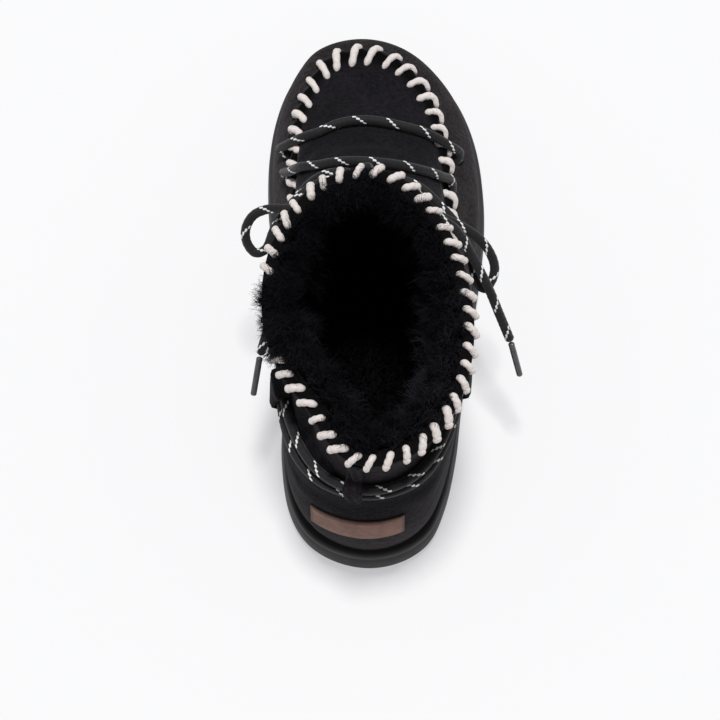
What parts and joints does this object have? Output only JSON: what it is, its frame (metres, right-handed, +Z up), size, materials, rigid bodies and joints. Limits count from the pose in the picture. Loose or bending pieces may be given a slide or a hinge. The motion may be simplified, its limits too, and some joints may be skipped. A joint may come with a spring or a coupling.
{
  "type": "lace-up moccasin ankle boot",
  "caption": "Right-foot suede ankle boot with a whip-stitched moccasin toe, deep shearling lining, cord lace tied round the ankle and a moulded foam sole.",
  "frame": {"origin": "middle of the boot's own box at floor level, without the bow", "axes": "+Y to the toe, +X to the little-toe side, +Z up from the floor"},
  "size_m": [0.1307, 0.27, 0.1536],
  "materials": {
    "sole_foam": "matt moulded foam rubber",
    "suede": "black napped suede",
    "shearling": "black wool pile",
    "lace": "braided black cord with white flecks",
    "label_leather": "plain brown leather",
    "aglet": "dark grey plastic"
  },
  "bodies": {
    "root": {"outsole": "sole_foam", "insole": "shearling", "upper": "suede", "shearling_lining": "shearling", "heel_label": "label_leather", "pull_loop": "suede", "lace_keeper_medial": "suede", "lace_keeper_lateral": "suede", "lace_bar_front": "lace", "lace_bar_rear": "lace", "lace_wrap_upper": "lace", "lace_wrap_lower": "lace", "lace_knot": "lace", "lace_loop_left": "lace", "lace_loop_right": "lace", "lace_end_left": "lace", "lace_end_right": "lace", "aglet_left": "aglet", "aglet_right": "aglet"}
  },
  "joints": []
}
